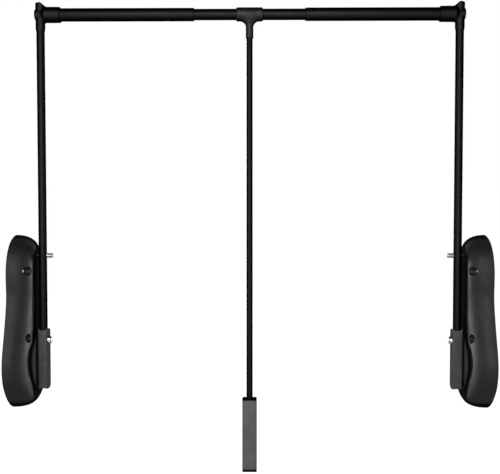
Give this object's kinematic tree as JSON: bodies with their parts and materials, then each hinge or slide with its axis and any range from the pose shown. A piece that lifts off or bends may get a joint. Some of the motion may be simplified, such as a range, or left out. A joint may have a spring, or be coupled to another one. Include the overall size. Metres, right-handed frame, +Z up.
{
  "type": "retractable closet rod",
  "caption": "Pull-down wardrobe rail: two wall units with geared, sprung pivots, a pair of arms, a telescopic hanging rail and a free-swinging pull handle.",
  "frame": {"origin": "on the left wall, midway between the left unit's two wall screws", "axes": "+X from the left wall to the right wall, +Z up, -Y towards the person using it"},
  "size_m": [0.932, 0.1432, 0.9094],
  "materials": {
    "cover_plastic": "fine satin texture, as moulded",
    "plate_steel": "zinc-plated sheet",
    "zinc_steel": "bright zinc",
    "nylon": "natural nylon",
    "cylinder_paint": "gloss black",
    "gear_steel": "machined and oiled",
    "chrome_steel": "polished",
    "bracket_paint": "satin powder coat",
    "arm_paint": "satin black powder coat",
    "rail_paint": "satin black powder coat",
    "connector_plastic": "satin black",
    "black_screws": "black oxide",
    "guide_plastic": "satin black",
    "collar_plastic": "satin black",
    "grip_plastic": "satin dark grey",
    "cap_plastic": "satin black"
  },
  "bodies": {
    "left_unit": {"left_cover": "cover_plastic", "left_back_plate": "plate_steel", "left_ferrules": "zinc_steel", "left_cover_screws": "zinc_steel", "left_bearing_bridge": "plate_steel", "left_pivot_bushes": "nylon", "left_cylinder": "cylinder_paint", "left_anchor_pin": "zinc_steel"},
    "left_drive": {"left_rack": "gear_steel", "left_piston_rod": "chrome_steel"},
    "left_arm_set": {"left_pivot_shaft": "gear_steel", "left_pinion": "gear_steel", "left_pivot_cheek": "arm_paint", "left_arm_bracket": "bracket_paint", "left_clamp_bolt": "chrome_steel", "left_arm": "arm_paint", "left_stop_bolt": "zinc_steel", "left_stop_nut": "zinc_steel", "left_corner_connector": "connector_plastic", "left_corner_screws": "black_screws", "left_outer_tube": "rail_paint", "left_tube_guide": "guide_plastic"},
    "sliding_tube": {"inner_tube": "rail_paint", "tube_plugs": "guide_plastic"},
    "handle_set": {"handle_collar": "collar_plastic", "collar_screw": "black_screws", "handle_rod": "arm_paint", "grip": "grip_plastic", "grip_top_cap": "cap_plastic", "grip_end_cap": "cap_plastic"},
    "right_arm_set": {"right_pivot_shaft": "gear_steel", "right_pinion": "gear_steel", "right_pivot_cheek": "arm_paint", "right_arm_bracket": "bracket_paint", "right_clamp_bolt": "chrome_steel", "right_arm": "arm_paint", "right_stop_bolt": "zinc_steel", "right_stop_nut": "zinc_steel", "right_corner_connector": "connector_plastic", "right_corner_screws": "black_screws", "right_outer_tube": "rail_paint", "right_tube_guide": "guide_plastic"},
    "right_unit": {"right_cover": "cover_plastic", "right_back_plate": "plate_steel", "right_ferrules": "zinc_steel", "right_cover_screws": "zinc_steel", "right_bearing_bridge": "plate_steel", "right_pivot_bushes": "nylon", "right_cylinder": "cylinder_paint", "right_anchor_pin": "zinc_steel"},
    "right_drive": {"right_rack": "gear_steel", "right_piston_rod": "chrome_steel"}
  },
  "joints": [
    {"name": "pull_down", "type": "hinge", "parent": "left_unit", "child": "left_arm_set", "pos_m": [0.03, 0.022, -0.115], "axis": [1, 0, 0], "range_deg": [0, 95], "stiffness_Nm_per_rad": 8, "springref_deg": -17.19},
    {"name": "left_rack_travel", "type": "slide", "parent": "left_unit", "child": "left_drive", "axis": [0, 0, 1], "range_m": [0, 0.0332]},
    {"name": "left_telescope", "type": "slide", "parent": "left_arm_set", "child": "sliding_tube", "axis": [1, 0, 0], "range_m": [-0.04, 0.09]},
    {"name": "handle_swing", "type": "hinge", "parent": "sliding_tube", "child": "handle_set", "pos_m": [0.466, 0.01453, 0.5637], "axis": [1, 0, 0], "range_deg": [-110, 45]},
    {"name": "right_telescope", "type": "slide", "parent": "sliding_tube", "child": "right_arm_set", "axis": [1, 0, 0], "range_m": [-0.04, 0.09]},
    {"name": "right_pivot", "type": "hinge", "parent": "right_arm_set", "child": "right_unit", "pos_m": [0.902, 0.022, -0.115], "axis": [1, 0, 0], "range_deg": [-95, 0]},
    {"name": "right_rack_travel", "type": "slide", "parent": "right_unit", "child": "right_drive", "axis": [0, 0, 1], "range_m": [0, 0.0332]}
  ],
  "couplings": [
    {"joint": "left_rack_travel", "follows": "pull_down", "m_per_rad": 0.02},
    {"joint": "right_pivot", "follows": "pull_down", "ratio": -1},
    {"joint": "right_rack_travel", "follows": "pull_down", "m_per_rad": 0.02}
  ]
}
